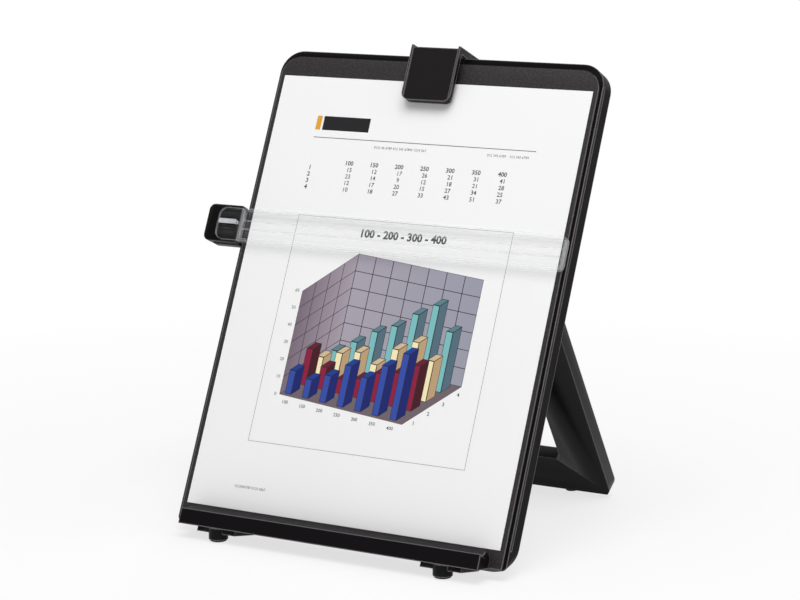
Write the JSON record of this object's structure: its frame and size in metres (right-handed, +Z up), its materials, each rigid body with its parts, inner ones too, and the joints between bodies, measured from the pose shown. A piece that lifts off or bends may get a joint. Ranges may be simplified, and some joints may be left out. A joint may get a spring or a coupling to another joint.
{
  "type": "document holder",
  "caption": "Desk easel that holds a sheet upright for reading: tilted panel, ledge, spring clip, sliding clear line guide and a folding rear leg.",
  "frame": {"origin": "middle of the footprint, on the desk", "axes": "+X to the reader's right, +Y away from the reader, +Z up"},
  "size_m": [0.2514, 0.223, 0.2933],
  "materials": {
    "panel_plastic": "fine-grained matte black",
    "cover_plastic": "fine-grained matte black",
    "ledge_plastic": "satin black",
    "foot_plastic": "satin black",
    "leg_plastic": "satin black",
    "hinge_plastic": "satin black",
    "clip_plastic": "semi-gloss black",
    "slider_plastic": "semi-gloss black",
    "tab_plastic": "pale grey",
    "clear_plastic": "clear, slightly frosted at the edges",
    "rubber": "matte black",
    "steel": "plated",
    "spring_steel": "bright",
    "paper": "matt white"
  },
  "bodies": {
    "stand": {"front_panel": "panel_plastic", "rear_cover": "cover_plastic", "cover_screws": "steel", "document_ledge": "ledge_plastic", "ledge_screws": "steel", "hinge_screws": "steel", "foot_block_left": "foot_plastic", "foot_block_right": "foot_plastic", "rubber_foot_left": "rubber", "rubber_foot_right": "rubber", "rear_foot_pad_left": "rubber", "rear_foot_pad_right": "rubber", "hinge_bracket_left": "hinge_plastic", "hinge_bracket_right": "hinge_plastic", "hinge_pin_left": "steel", "hinge_pin_right": "steel", "clip_base": "clip_plastic", "clip_base_screws": "steel", "clip_pivot_pin": "steel", "clip_spring": "spring_steel"},
    "leg": {"leg_frame": "leg_plastic", "leg_pad_left": "rubber", "leg_pad_right": "rubber"},
    "clip": {"clip_jaw": "clip_plastic", "clip_pad": "rubber"},
    "guide": {"line_guide": "clear_plastic", "guide_tab": "tab_plastic", "slider_cap": "slider_plastic", "slider_back": "slider_plastic", "slider_screw": "steel", "slider_leaf_spring": "spring_steel"},
    "document": {"document_sheet": "paper"}
  },
  "joints": [
    {"name": "leg_fold", "type": "hinge", "parent": "stand", "child": "leg", "pos_m": [0.0125, -0.00367, 0.16477], "axis": [-1, 0, 0], "range_deg": [0, 58.5]},
    {"name": "clip_open", "type": "hinge", "parent": "stand", "child": "clip", "pos_m": [0.0125, 0.04033, 0.28515], "axis": [-1, 0, 0], "range_deg": [0, 20], "stiffness_Nm_per_rad": 0.1, "springref_deg": -28.65},
    {"name": "guide_slide", "type": "slide", "parent": "stand", "child": "guide", "axis": [0, 0.4226, 0.9063], "range_m": [-0.16, 0.076]},
    {"name": "document_slide", "type": "slide", "parent": "stand", "child": "document", "axis": [1, 0, 0], "range_m": [0, 0.23]}
  ]
}
